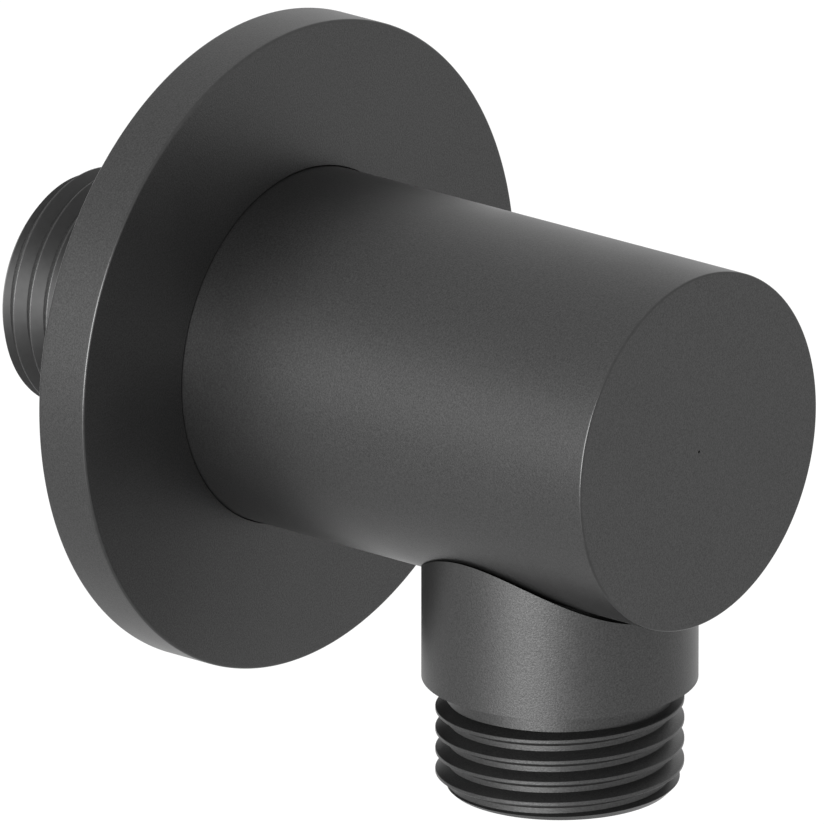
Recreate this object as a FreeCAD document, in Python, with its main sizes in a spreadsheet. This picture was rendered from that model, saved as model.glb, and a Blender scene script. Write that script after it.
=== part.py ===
import FreeCAD, Part
import math
import os

import Sketcher

# Wall outlet elbow: water comes out of the wall through a threaded nipple, runs along a round
# body, and turns down into a threaded outlet for a shower hose, past a check valve.
# The frame's origin is the centre of the cover disc's back, in the plane of the wall.
# The body reaches out along -Y, the inlet nipple goes into the wall along +Y, and the outlet
# points down along -Z.

# Each row is a name, a size in millimetres (or degrees, for an angle), and what it measures.
DRIVING_SIZES = (
    ("body_diameter", 30.35, "outside of the round body"),
    ("front_overhang", 14.95, "outlet's axis to the body's front face"),
    ("body_wall_gap", 0.5, "wall to the body's rear face"),
    ("body_edge_round", 0.2, "rounding of the front face's rim"),
    ("turning_mark_diameter", 0.25, "centre mark left in the front face by turning"),
    ("turning_mark_depth", 0.15, "depth of that mark"),
    ("waterway_diameter", 13.5, "bore through the nipple and the body"),
    ("front_wall", 3.69, "tip of the bore to the body's front face"),
    ("drill_point_angle", 118, "full angle of the bore's conical end"),
    ("inlet_length", 20.0, "wall to the inlet nipple's end"),
    ("inlet_mouth_chamfer", 0.6, "chamfer at the mouth of the waterway"),
    ("thread_diameter", 20.68, "half-inch pipe thread, over its crests"),
    ("thread_root_diameter", 18.6, "half-inch pipe thread, at its roots"),
    ("thread_pitch", 1.814, "half-inch pipe thread, 14 turns to the inch"),
    ("thread_flank_angle", 27.5, "each flank from square to the axis"),
    ("thread_crest_flat", 0.28, "width of the flat crest"),
    ("thread_cut_over", 0.3, "how far the thread's cutter stands out of the blank"),
    ("thread_end_step", 0.05, "how far the end chamfer goes below the roots"),
    ("relief_diameter", 19.0, "plain neck between a shoulder and its thread"),
    ("relief_length", 1.75, "length of that neck"),
    ("inlet_thread_lead", 1.55, "inlet end to the middle of the first groove outside it"),
    ("outlet_thread_lead", 2.08, "outlet end to the middle of the first groove outside it"),
    ("outlet_reach", 33.15, "wall to the outlet's axis"),
    ("shoulder_diameter", 23.0, "round shoulder of the outlet nipple"),
    ("shoulder_drop", 22.75, "body's axis to the bottom of the shoulder"),
    ("outlet_drop", 32.3, "body's axis to the outlet's end"),
    ("outlet_turn", 2.2, "clockwise turn of the outlet nipple, seen from above"),
    ("saddle_ease", 0.61, "radius of the shoulder's saddle over the body's radius"),
    ("saddle_gap", 0.14, "saddle to the body, straight below it"),
    ("stud_diameter", 18.0, "stud that holds the outlet nipple in the body"),
    ("stud_clearance", 0.05, "gap round the stud"),
    ("stud_seat_drop", 7.8, "body's axis to the seat that the stud meets"),
    ("throat_diameter", 11.5, "outlet's bore above the valve"),
    ("valve_bore_diameter", 15.0, "outlet nipple's bore round the valve"),
    ("valve_step_drop", 14.0, "body's axis to the step that the valve sits against"),
    ("valve_clearance", 0.1, "gap round the valve in its bore"),
    ("outlet_ring_cord", 1.2, "thickness of the seal ring round the stud"),
    ("outlet_ring_drop", 9.9, "body's axis to the middle of that ring"),
    ("ring_side_room", 0.1, "free width on each side of a seal ring in its groove"),
    ("ring_relief", 0.01, "hair's breadth between a seal ring and what it touches"),
    ("valve_seat_height", 3.0, "flange of the valve's seat ring"),
    ("valve_seat_spigot", 1.8, "spigot of the seat ring inside the housing"),
    ("valve_seat_bore", 8.4, "opening that the valve's poppet closes"),
    ("valve_seat_lead_in", 0.8, "chamfer at the top of the seat's bore"),
    ("valve_ring_cord", 1.0, "thickness of the seal ring round the valve"),
    ("valve_length", 17.0, "valve from its step to its lower end"),
    ("valve_wall", 1.1, "wall of the valve's housing"),
    ("valve_join_clearance", 0.05, "gap round the spigot, and round the poppet's stem"),
    ("guide_hub_diameter", 5.2, "hub that guides the poppet's stem"),
    ("guide_hub_height", 3.0, "height of that hub"),
    ("guide_inset", 0.4, "hub's lower end above the housing's"),
    ("guide_arm_width", 1.4, "width of each arm that holds the hub"),
    ("guide_arm_height", 2.2, "height of each arm"),
    ("guide_arm_count", 3, "arms round the hub"),
    ("poppet_head_diameter", 10.8, "disc of the poppet"),
    ("poppet_head_height", 1.4, "thickness of that disc"),
    ("poppet_seal_height", 0.75, "thickness of the poppet's seal"),
    ("poppet_seal_diameter", 10.4, "outside of the poppet's seal"),
    ("poppet_seal_gap", 0.05, "seal to its seat"),
    ("poppet_neck_diameter", 7.1, "neck that the seal is stretched over"),
    ("poppet_neck_clearance", 0.05, "gap round that neck and over the seal"),
    ("poppet_lip_diameter", 7.7, "lip that keeps the seal on"),
    ("poppet_lip_height", 0.4, "thickness of that lip"),
    ("poppet_nose_height", 0.9, "cone on top of the lip"),
    ("poppet_nose_diameter", 3.0, "flat top of that cone"),
    ("poppet_stem_diameter", 2.0, "stem in the guide"),
    ("poppet_stem_grip", 1.3, "stem inside the guide when the valve is shut"),
    ("spring_wire", 0.45, "thickness of the spring's wire"),
    ("spring_diameter", 3.5, "middle diameter of the spring's coils"),
    ("spring_turns", 5, "turns of the spring"),
    ("rosette_diameter", 55.3, "cover disc on the wall"),
    ("rosette_thickness", 4.95, "wall to the disc's front"),
    ("rosette_clearance", 0.1, "gap between the disc and the body"),
    ("rosette_edge_round", 0.2, "rounding of the disc's outer edges"),
    ("rosette_bore_chamfer", 0.15, "chamfer at the front of the disc's bore"),
    ("rosette_rim_wall", 2.0, "rim of the hollow back"),
    ("rosette_front_wall", 1.8, "front wall over the hollow back"),
    ("rosette_hub_wall", 3.4, "hub round the body, with the grip ring's groove"),
    ("grip_ring_cord", 1.5, "thickness of the ring that grips the body"),
    ("grip_ring_clearance", 0.03, "grip ring to the body"),
    ("wall_seal_width", 3.0, "width of the soft ring that meets the wall"),
    ("wall_seal_inset", 0.4, "free width between that ring and the rim"),
    ("cut_overrun", 1.0, "how far a bore's outline starts outside the metal"),
)

# Strips that each turn of a thread's crest is made of.
CREST_STRIPS = 8

# How closely a round edge has to match the radius, place and direction asked for.
SIZE_MATCH = 1e-4
DIRECTION_MATCH = 1e-6

doc = FreeCAD.newDocument("wall_outlet_elbow")
sheet = doc.addObject("Spreadsheet::Sheet", "Sizes")
for row, (alias, size, meaning) in enumerate(DRIVING_SIZES, start=1):
    sheet.set(f"A{row}", meaning)
    sheet.set(f"B{row}", str(size))
    sheet.setAlias(f"B{row}", alias)
doc.recompute()

# Radii and levels that several pieces share, each worked out from the sheet.
BODY_RADIUS = "Sizes.body_diameter / 2"
BODY_REACH = "(Sizes.outlet_reach + Sizes.front_overhang)"
WATERWAY_RADIUS = "Sizes.waterway_diameter / 2"
CREST_RADIUS = "Sizes.thread_diameter / 2"
ROOT_RADIUS = "Sizes.thread_root_diameter / 2"
RELIEF_RADIUS = "Sizes.relief_diameter / 2"
THREAD_DEPTH = "(Sizes.thread_diameter - Sizes.thread_root_diameter) / 2"
SHOULDER_RADIUS = "Sizes.shoulder_diameter / 2"
SADDLE_RADIUS = f"({BODY_RADIUS} + Sizes.saddle_ease)"
STUD_RADIUS = "Sizes.stud_diameter / 2"
STUD_HOLE_RADIUS = f"({STUD_RADIUS} + Sizes.stud_clearance)"
THROAT_RADIUS = "Sizes.throat_diameter / 2"
VALVE_BORE_RADIUS = "Sizes.valve_bore_diameter / 2"
VALVE_RADIUS = f"({VALVE_BORE_RADIUS} - Sizes.valve_clearance)"
HOUSING_BORE_RADIUS = f"({VALVE_RADIUS} - Sizes.valve_wall)"
HOUSING_TOP = "(Sizes.valve_step_drop + Sizes.valve_seat_height)"
SEAT_FACE = f"({HOUSING_TOP} + Sizes.valve_seat_spigot)"
VALVE_END = "(Sizes.valve_step_drop + Sizes.valve_length)"
GUIDE_END = f"({VALVE_END} - Sizes.guide_inset)"
GUIDE_TOP = f"({GUIDE_END} - Sizes.guide_hub_height)"
STEM_RADIUS = "Sizes.poppet_stem_diameter / 2"
SEAL_TOP = f"({SEAT_FACE} + Sizes.poppet_seal_gap)"
HEAD_TOP = f"({SEAL_TOP} + Sizes.poppet_seal_height)"
HEAD_END = f"({HEAD_TOP} + Sizes.poppet_head_height)"
ROSETTE_BORE_RADIUS = f"({BODY_RADIUS} + Sizes.rosette_clearance)"
ROSETTE_HUB_RADIUS = f"({ROSETTE_BORE_RADIUS} + Sizes.rosette_hub_wall)"
ROSETTE_RIM_RADIUS = "(Sizes.rosette_diameter / 2 - Sizes.rosette_rim_wall)"
ROSETTE_HOLLOW = "(Sizes.rosette_thickness - Sizes.rosette_front_wall)"
GRIP_RING_RADIUS = f"({BODY_RADIUS} + Sizes.grip_ring_clearance + Sizes.grip_ring_cord / 2)"
OUTLET_RING_RADIUS = f"({STUD_HOLE_RADIUS} - Sizes.outlet_ring_cord / 2)"
VALVE_RING_RADIUS = f"({VALVE_BORE_RADIUS} - Sizes.valve_ring_cord / 2)"
VALVE_RING_DROP = "(Sizes.valve_step_drop + Sizes.valve_seat_height / 2)"


def number(expression):
    """The present value of an expression over the sheet."""
    return float(sheet.evalExpression(expression))


def new_piece(label):
    """An empty body for one separate piece of the elbow."""
    body = doc.addObject("PartDesign::Body", label)
    body.Label = label
    return body


def origin_feature(body, role):
    return next(f for f in body.Origin.OriginFeatures if f.Role == role)


def new_sketch(body, name, role):
    """A sketch on one of the piece's own planes."""
    sketch = body.newObject("Sketcher::SketchObject", name)
    sketch.AttachmentSupport = [(origin_feature(body, role), "")]
    sketch.MapMode = "FlatFace"
    return sketch


def hold_point(sketch, edge, end, across, up):
    """Fixes one end of an edge at two expressions, measured from the sketch's origin."""
    for kind, other_axis, expression in (("DistanceX", -2, across), ("DistanceY", -1, up)):
        if expression == "0":
            sketch.addConstraint(Sketcher.Constraint("PointOnObject", edge, end, other_axis))
            continue
        held = Sketcher.Constraint(kind, -1, 1, edge, end, number(expression))
        index = sketch.addConstraint(held)
        sketch.setExpression(f"Constraints[{index}]", expression)


def draw_outline(sketch, corners):
    """A closed outline of straight lines through corners given as pairs of expressions."""
    spots = [FreeCAD.Vector(number(across), number(up), 0) for across, up in corners]
    count = len(spots)
    for i in range(count):
        sketch.addGeometry(Part.LineSegment(spots[i], spots[(i + 1) % count]), False)
    for i in range(count):
        sketch.addConstraint(Sketcher.Constraint("Coincident", i, 2, (i + 1) % count, 1))
    for i, (across, up) in enumerate(corners):
        hold_point(sketch, i, 1, across, up)
    return sketch


def draw_centre_line(sketch, across, low, high):
    """An upright construction line for an outline to be turned about."""
    foot = FreeCAD.Vector(number(across), number(low), 0)
    head = FreeCAD.Vector(number(across), number(high), 0)
    line = sketch.addGeometry(Part.LineSegment(foot, head), True)
    hold_point(sketch, line, 1, across, low)
    hold_point(sketch, line, 2, across, high)


def draw_divided_circle(sketch, radius):
    """A circle about the origin drawn as equal arcs, so that its wall is as many faces."""
    step = 360 / CREST_STRIPS
    size = number(radius)
    circle = Part.Circle(FreeCAD.Vector(0, 0, 0), FreeCAD.Vector(0, 0, 1), size)
    for i in range(CREST_STRIPS):
        ends = math.radians(i * step), math.radians((i + 1) * step)
        sketch.addGeometry(Part.ArcOfCircle(circle, *ends), False)
    for i in range(CREST_STRIPS):
        sketch.addConstraint(Sketcher.Constraint("Coincident", i, 3, -1, 1))
        sketch.addConstraint(Sketcher.Constraint("Coincident", i, 2, (i + 1) % CREST_STRIPS, 1))
        if i * step % 180 == 0:
            sketch.addConstraint(Sketcher.Constraint("PointOnObject", i, 1, -1))
            continue
        across = f"{radius} * cos({i * step})"
        held = Sketcher.Constraint("DistanceX", -1, 1, i, 1, number(across))
        index = sketch.addConstraint(held)
        sketch.setExpression(f"Constraints[{index}]", across)
    index = sketch.addConstraint(Sketcher.Constraint("Radius", 0, size))
    sketch.setExpression(f"Constraints[{index}]", radius)


def turn(body, name, role, corners):
    """Adds the solid that an outline makes when it is turned once round its axis."""
    sketch = draw_outline(new_sketch(body, f"{name}_outline", role), corners)
    feature = body.newObject("PartDesign::Revolution", name)
    feature.Profile = sketch
    feature.ReferenceAxis = (sketch, ["V_Axis"])
    feature.Angle = 360
    feature.Refine = False
    doc.recompute()
    return feature


def turn_away(body, name, role, corners, centre_line=None):
    """Removes what an outline sweeps when it is turned once round its axis."""
    before = body.Shape.Volume
    sketch = draw_outline(new_sketch(body, f"{name}_outline", role), corners)
    if centre_line:
        draw_centre_line(sketch, *centre_line)
    feature = body.newObject("PartDesign::Groove", name)
    feature.Profile = sketch
    feature.ReferenceAxis = (sketch, ["Axis0" if centre_line else "V_Axis"])
    feature.Angle = 360
    feature.Refine = False
    doc.recompute()
    if not body.Shape.Volume < before:
        raise RuntimeError(f"{name} removed nothing from {body.Label}")
    return feature


def rim_edges(shape, radius, axis, level):
    """Names of the round edges of one radius, about one axis (0, 1 or 2), at one level along it."""
    names = []
    for i, edge in enumerate(shape.Edges, start=1):
        curve = edge.Curve
        if not isinstance(curve, Part.Circle):
            continue
        aligned = abs(abs(curve.Axis[axis]) - 1) < DIRECTION_MATCH
        same_radius = abs(curve.Radius - radius) < SIZE_MATCH
        same_level = abs(curve.Center[axis] - level) < SIZE_MATCH
        if aligned and same_radius and same_level:
            names.append(f"Edge{i}")
    return names


def round_rims(body, name, rims, size):
    """Rounds the rims given as (radius, axis, level), all with one size from the sheet."""
    base = body.Tip
    edges = [edge for rim in rims for edge in rim_edges(base.Shape, *rim)]
    feature = body.newObject("PartDesign::Fillet", name)
    feature.Base = (base, edges)
    feature.setExpression("Radius", size)
    feature.Refine = False
    doc.recompute()
    return feature


def bevel_rims(body, name, rims, size):
    """Bevels the rims given as (radius, axis, level) at 45 degrees."""
    base = body.Tip
    edges = [edge for rim in rims for edge in rim_edges(base.Shape, *rim)]
    feature = body.newObject("PartDesign::Chamfer", name)
    feature.Base = (base, edges)
    feature.setExpression("Size", size)
    feature.Refine = False
    doc.recompute()
    return feature


def add_thread_blank(body, name, role, start, length):
    """A plain stub at the thread's crest radius, ready to be threaded. start is where it begins
    along the normal of the plane, and it grows against that normal."""
    sketch = new_sketch(body, f"{name}_outline", role)
    sketch.setExpression(".AttachmentOffset.Base.z", start)
    draw_divided_circle(sketch, CREST_RADIUS)
    feature = body.newObject("PartDesign::Pad", name)
    feature.Profile = sketch
    feature.Type = "Length"
    feature.Reversed = True
    feature.setExpression("Length", length)
    feature.Refine = False
    doc.recompute()
    return feature


def cut_thread(body, name, role, axis_role, first, travel, backwards):
    """Cuts a right-hand helical groove of the pipe thread's form. first is the axial place of
    the groove's middle where the cutter starts, outside the blank, and travel how far it goes."""
    before = body.Shape.Volume
    slope = "tan(Sizes.thread_flank_angle)"
    root_half = (
        f"((Sizes.thread_pitch - Sizes.thread_crest_flat) / 2 - {THREAD_DEPTH} * {slope})"
    )
    mouth_half = f"({root_half} + ({THREAD_DEPTH} + Sizes.thread_cut_over) * {slope})"
    mouth_radius = f"({CREST_RADIUS} + Sizes.thread_cut_over)"
    sketch = new_sketch(body, f"{name}_outline", role)
    draw_outline(sketch, (
        (ROOT_RADIUS, f"{first} - {root_half}"),
        (mouth_radius, f"{first} - {mouth_half}"),
        (mouth_radius, f"{first} + {mouth_half}"),
        (ROOT_RADIUS, f"{first} + {root_half}"),
    ))
    feature = body.newObject("PartDesign::SubtractiveHelix", name)
    feature.Profile = sketch
    feature.ReferenceAxis = (origin_feature(body, axis_role), [""])
    feature.Mode = "pitch-height-angle"
    feature.setExpression("Pitch", "Sizes.thread_pitch")
    feature.setExpression("Height", travel)
    feature.LeftHanded = False
    feature.Reversed = backwards
    feature.Refine = False
    doc.recompute()
    if not body.Shape.Volume < before:
        raise RuntimeError(f"{name} removed nothing from {body.Label}")
    return feature


def add_seal_ring(label, middle_radius, cord, place, sideways=False):
    """A rubber ring of round section, a hair thinner than its cord so that it only touches."""
    ring = doc.addObject("Part::Torus", label)
    ring.Label = label
    ring.setExpression("Radius1", middle_radius)
    ring.setExpression("Radius2", f"{cord} / 2 - Sizes.ring_relief")
    for axis, expression in zip("xyz", place):
        ring.setExpression(f".Placement.Base.{axis}", expression)
    if sideways:
        ring.Placement.Rotation = FreeCAD.Rotation(FreeCAD.Vector(1, 0, 0), 90)
    return ring


def set_on_outlet_axis(piece):
    """Moves a piece that is drawn about the Z axis to the outlet's axis."""
    piece.setExpression(".Placement.Base.y", "-Sizes.outlet_reach")


def cut_saddle(body, name, role, radius, height, length):
    """Cuts a round trough across the piece. height is that of the trough's centre."""
    before = body.Shape.Volume
    sketch = new_sketch(body, f"{name}_outline", role)
    middle = FreeCAD.Vector(0, number(height), 0)
    size = number(radius)
    sketch.addGeometry(Part.Circle(middle, FreeCAD.Vector(0, 0, 1), size), False)
    hold_point(sketch, 0, 3, "0", height)
    index = sketch.addConstraint(Sketcher.Constraint("Radius", 0, size))
    sketch.setExpression(f"Constraints[{index}]", radius)
    feature = body.newObject("PartDesign::Pocket", name)
    feature.Profile = sketch
    feature.Type = "Length"
    feature.SideType = "Symmetric"
    feature.setExpression("Length", length)
    feature.Refine = False
    doc.recompute()
    if not body.Shape.Volume < before:
        raise RuntimeError(f"{name} removed nothing from {body.Label}")
    return feature


def make_elbow_body():
    """The brass body, turned from bar with its inlet nipple, bored from the wall side, and
    bored from below for the outlet nipple's stud."""
    body = new_piece("elbow_body")
    turn(body, "barrel", "XY_Plane", (
        ("0", f"-{BODY_REACH}"),
        (BODY_RADIUS, f"-{BODY_REACH}"),
        (BODY_RADIUS, "-Sizes.body_wall_gap"),
        (RELIEF_RADIUS, "-Sizes.body_wall_gap"),
        (RELIEF_RADIUS, "Sizes.relief_length"),
        ("0", "Sizes.relief_length"),
    ))
    neck_end = "(Sizes.relief_length - Sizes.body_wall_gap)"
    # The stub starts inside the neck's end so that the two are one solid.
    add_thread_blank(body, "inlet_blank", "XZ_Plane", f"-{neck_end}", f"Sizes.inlet_length - {neck_end}")
    end_level = number("Sizes.inlet_length")
    bevel_rims(
        body, "inlet_end_bevel", [(number(CREST_RADIUS), 1, end_level)],
        f"{THREAD_DEPTH} + Sizes.thread_end_step",
    )
    first = "(Sizes.inlet_length + Sizes.inlet_thread_lead)"
    last = f"({neck_end} - (Sizes.thread_pitch - Sizes.thread_crest_flat) / 2)"
    cut_thread(body, "inlet_thread", "XY_Plane", "Y_Axis", first, f"{first} - {last}", True)
    drill_tip = f"({BODY_REACH} - Sizes.front_wall)"
    bore_end = f"({drill_tip} - {WATERWAY_RADIUS} / tan(Sizes.drill_point_angle / 2))"
    mouth = "(Sizes.inlet_length + Sizes.cut_overrun)"
    mouth_radius = f"{WATERWAY_RADIUS} + Sizes.inlet_mouth_chamfer + Sizes.cut_overrun"
    turn_away(body, "waterway", "XY_Plane", (
        ("0", mouth),
        (mouth_radius, mouth),
        (WATERWAY_RADIUS, "Sizes.inlet_length - Sizes.inlet_mouth_chamfer"),
        (WATERWAY_RADIUS, f"-{bore_end}"),
        ("0", f"-{drill_tip}"),
    ))
    below = f"-{BODY_RADIUS} - Sizes.cut_overrun"
    axis = "-Sizes.outlet_reach"
    turn_away(body, "outlet_hole", "YZ_Plane", (
        (axis, below),
        (f"{axis} + {STUD_HOLE_RADIUS}", below),
        (f"{axis} + {STUD_HOLE_RADIUS}", "-Sizes.stud_seat_drop"),
        (f"{axis} + {THROAT_RADIUS}", "-Sizes.stud_seat_drop"),
        (f"{axis} + {THROAT_RADIUS}", "0"),
        (axis, "0"),
    ), centre_line=(axis, below, "0"))
    front = number(f"-{BODY_REACH}")
    round_rims(body, "front_rim", [(number(BODY_RADIUS), 1, front)], "Sizes.body_edge_round")
    turn_away(body, "turning_mark", "XY_Plane", (
        ("0", f"-{BODY_REACH} - Sizes.turning_mark_depth"),
        ("Sizes.turning_mark_diameter", f"-{BODY_REACH} - Sizes.turning_mark_depth"),
        ("0", f"-{BODY_REACH} + Sizes.turning_mark_depth"),
    ))
    return body


def make_outlet_nipple():
    """The outlet nipple: a stud held in the body, a round shoulder whose top is a saddle round
    the body, and the hose's thread. A ring round the stud seals it, and the bore steps out to
    take the valve."""
    body = new_piece("outlet_nipple")
    neck_end = "(Sizes.shoulder_drop + Sizes.relief_length)"
    turn(body, "shank", "XZ_Plane", (
        ("0", "-Sizes.stud_seat_drop"),
        (SHOULDER_RADIUS, "-Sizes.stud_seat_drop"),
        (SHOULDER_RADIUS, "-Sizes.shoulder_drop"),
        (RELIEF_RADIUS, "-Sizes.shoulder_drop"),
        (RELIEF_RADIUS, f"-{neck_end} - Sizes.relief_length"),
        ("0", f"-{neck_end} - Sizes.relief_length"),
    ))
    cut_saddle(
        body, "saddle", "XZ_Plane", SADDLE_RADIUS, "Sizes.saddle_ease - Sizes.saddle_gap",
        "Sizes.shoulder_diameter + 2 * Sizes.cut_overrun",
    )
    turn(body, "stud", "XZ_Plane", (
        ("0", "-Sizes.stud_seat_drop"),
        (STUD_RADIUS, "-Sizes.stud_seat_drop"),
        (STUD_RADIUS, "-Sizes.shoulder_drop"),
        ("0", "-Sizes.shoulder_drop"),
    ))
    add_thread_blank(body, "outlet_blank", "XY_Plane", f"-{neck_end}", f"Sizes.outlet_drop - {neck_end}")
    end_level = number("-Sizes.outlet_drop")
    bevel_rims(
        body, "outlet_end_bevel", [(number(CREST_RADIUS), 2, end_level)],
        f"{THREAD_DEPTH} + Sizes.thread_end_step",
    )
    first = "(-Sizes.outlet_drop - Sizes.outlet_thread_lead)"
    last = f"(-{neck_end} + (Sizes.thread_pitch - Sizes.thread_crest_flat) / 2)"
    cut_thread(body, "outlet_thread", "XZ_Plane", "Z_Axis", first, f"{last} - {first}", False)
    past_top = "-Sizes.stud_seat_drop + Sizes.cut_overrun"
    past_end = "-Sizes.outlet_drop - Sizes.cut_overrun"
    turn_away(body, "valve_bore", "XZ_Plane", (
        ("0", past_top),
        (THROAT_RADIUS, past_top),
        (THROAT_RADIUS, "-Sizes.valve_step_drop"),
        (VALVE_BORE_RADIUS, "-Sizes.valve_step_drop"),
        (VALVE_BORE_RADIUS, past_end),
        ("0", past_end),
    ))
    half_groove = "(Sizes.outlet_ring_cord / 2 + Sizes.ring_side_room)"
    groove_root = f"{STUD_HOLE_RADIUS} - Sizes.outlet_ring_cord"
    turn_away(body, "ring_groove", "XZ_Plane", (
        (groove_root, f"-Sizes.outlet_ring_drop + {half_groove}"),
        (STUD_HOLE_RADIUS, f"-Sizes.outlet_ring_drop + {half_groove}"),
        (STUD_HOLE_RADIUS, f"-Sizes.outlet_ring_drop - {half_groove}"),
        (groove_root, f"-Sizes.outlet_ring_drop - {half_groove}"),
    ))
    set_on_outlet_axis(body)
    body.Placement.Rotation = FreeCAD.Rotation(FreeCAD.Vector(0, 0, -1), number("Sizes.outlet_turn"))
    body.setExpression(".Placement.Rotation.Angle", "Sizes.outlet_turn")
    return body


def make_rosette():
    """The cover disc, turned with a hollow back: a rim, a front wall, and a hub that slides
    on the body and holds the grip ring in a groove."""
    body = new_piece("rosette")
    outside = "Sizes.rosette_diameter / 2"
    front = "-Sizes.rosette_thickness"
    turn(body, "disc", "XY_Plane", (
        (ROSETTE_BORE_RADIUS, front),
        (outside, front),
        (outside, "0"),
        (ROSETTE_RIM_RADIUS, "0"),
        (ROSETTE_RIM_RADIUS, f"-{ROSETTE_HOLLOW}"),
        (ROSETTE_HUB_RADIUS, f"-{ROSETTE_HOLLOW}"),
        (ROSETTE_HUB_RADIUS, "0"),
        (ROSETTE_BORE_RADIUS, "0"),
    ))
    front_level = number(front)
    rims = [(number(outside), 1, front_level), (number(outside), 1, 0)]
    round_rims(body, "outer_edges", rims, "Sizes.rosette_edge_round")
    bevel_rims(
        body, "bore_edge", [(number(ROSETTE_BORE_RADIUS), 1, front_level)],
        "Sizes.rosette_bore_chamfer",
    )
    half_groove = "(Sizes.grip_ring_cord / 2 + Sizes.ring_side_room)"
    middle = "Sizes.rosette_thickness / 2"
    groove_radius = f"{GRIP_RING_RADIUS} + Sizes.grip_ring_cord / 2"
    turn_away(body, "grip_ring_groove", "XY_Plane", (
        (BODY_RADIUS, f"-{middle} - {half_groove}"),
        (groove_radius, f"-{middle} - {half_groove}"),
        (groove_radius, f"-{middle} + {half_groove}"),
        (BODY_RADIUS, f"-{middle} + {half_groove}"),
    ))
    return body


def make_wall_seal():
    """The soft flat ring in the disc's hollow back, which seals it against the wall."""
    body = new_piece("wall_seal")
    outer = f"{ROSETTE_RIM_RADIUS} - Sizes.wall_seal_inset"
    inner = f"{outer} - Sizes.wall_seal_width"
    turn(body, "flat_ring", "XY_Plane", (
        (inner, f"-{ROSETTE_HOLLOW}"),
        (outer, f"-{ROSETTE_HOLLOW}"),
        (outer, "0"),
        (inner, "0"),
    ))
    return body


def make_valve_seat_ring():
    """The top of the check valve: a flange with a ring groove, a spigot inside the housing,
    and the flat seat at its lower end."""
    body = new_piece("valve_seat_ring")
    seat_radius = "Sizes.valve_seat_bore / 2"
    top = "-Sizes.valve_step_drop"
    groove_root = f"{VALVE_BORE_RADIUS} - Sizes.valve_ring_cord"
    half_groove = "(Sizes.valve_ring_cord / 2 + Sizes.ring_side_room)"
    spigot_radius = f"{HOUSING_BORE_RADIUS} - Sizes.valve_join_clearance"
    turn(body, "ring", "XZ_Plane", (
        (f"{seat_radius} + Sizes.valve_seat_lead_in", top),
        (VALVE_RADIUS, top),
        (VALVE_RADIUS, f"-{VALVE_RING_DROP} + {half_groove}"),
        (groove_root, f"-{VALVE_RING_DROP} + {half_groove}"),
        (groove_root, f"-{VALVE_RING_DROP} - {half_groove}"),
        (VALVE_RADIUS, f"-{VALVE_RING_DROP} - {half_groove}"),
        (VALVE_RADIUS, f"-{HOUSING_TOP}"),
        (spigot_radius, f"-{HOUSING_TOP}"),
        (spigot_radius, f"-{SEAT_FACE}"),
        (seat_radius, f"-{SEAT_FACE}"),
        (seat_radius, f"{top} - Sizes.valve_seat_lead_in"),
    ))
    set_on_outlet_axis(body)
    return body


def make_valve_housing():
    """The check valve's moulded housing: a tube, and a hub on arms that guides the stem."""
    body = new_piece("valve_housing")
    turn(body, "tube", "XZ_Plane", (
        (HOUSING_BORE_RADIUS, f"-{HOUSING_TOP}"),
        (VALVE_RADIUS, f"-{HOUSING_TOP}"),
        (VALVE_RADIUS, f"-{VALVE_END}"),
        (HOUSING_BORE_RADIUS, f"-{VALVE_END}"),
    ))
    arm = new_sketch(body, "arm_outline", "XY_Plane")
    arm.setExpression(".AttachmentOffset.Base.z", f"-{GUIDE_END}")
    half_width = "Sizes.guide_arm_width / 2"
    reach = f"{HOUSING_BORE_RADIUS} + Sizes.valve_wall / 2"
    draw_outline(arm, (
        ("0", f"-{half_width}"),
        (reach, f"-{half_width}"),
        (reach, half_width),
        ("0", half_width),
    ))
    pad = body.newObject("PartDesign::Pad", "guide_arm")
    pad.Profile = arm
    pad.Type = "Length"
    pad.setExpression("Length", "Sizes.guide_arm_height")
    pad.Refine = False
    doc.recompute()
    arms = body.newObject("PartDesign::PolarPattern", "guide_arms")
    arms.Originals = [pad]
    arms.Axis = (origin_feature(body, "Z_Axis"), [""])
    arms.Angle = 360
    arms.setExpression("Occurrences", "Sizes.guide_arm_count")
    arms.Refine = False
    body.Tip = arms
    doc.recompute()
    hub_radius = "Sizes.guide_hub_diameter / 2"
    turn(body, "guide_hub", "XZ_Plane", (
        ("0", f"-{GUIDE_TOP}"),
        (hub_radius, f"-{GUIDE_TOP}"),
        (hub_radius, f"-{GUIDE_END}"),
        ("0", f"-{GUIDE_END}"),
    ))
    hole_radius = f"{STEM_RADIUS} + Sizes.valve_join_clearance"
    turn_away(body, "guide_hole", "XZ_Plane", (
        ("0", f"-{GUIDE_TOP} + Sizes.guide_inset"),
        (hole_radius, f"-{GUIDE_TOP} + Sizes.guide_inset"),
        (hole_radius, f"-{VALVE_END}"),
        ("0", f"-{VALVE_END}"),
    ))
    set_on_outlet_axis(body)
    return body


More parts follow.
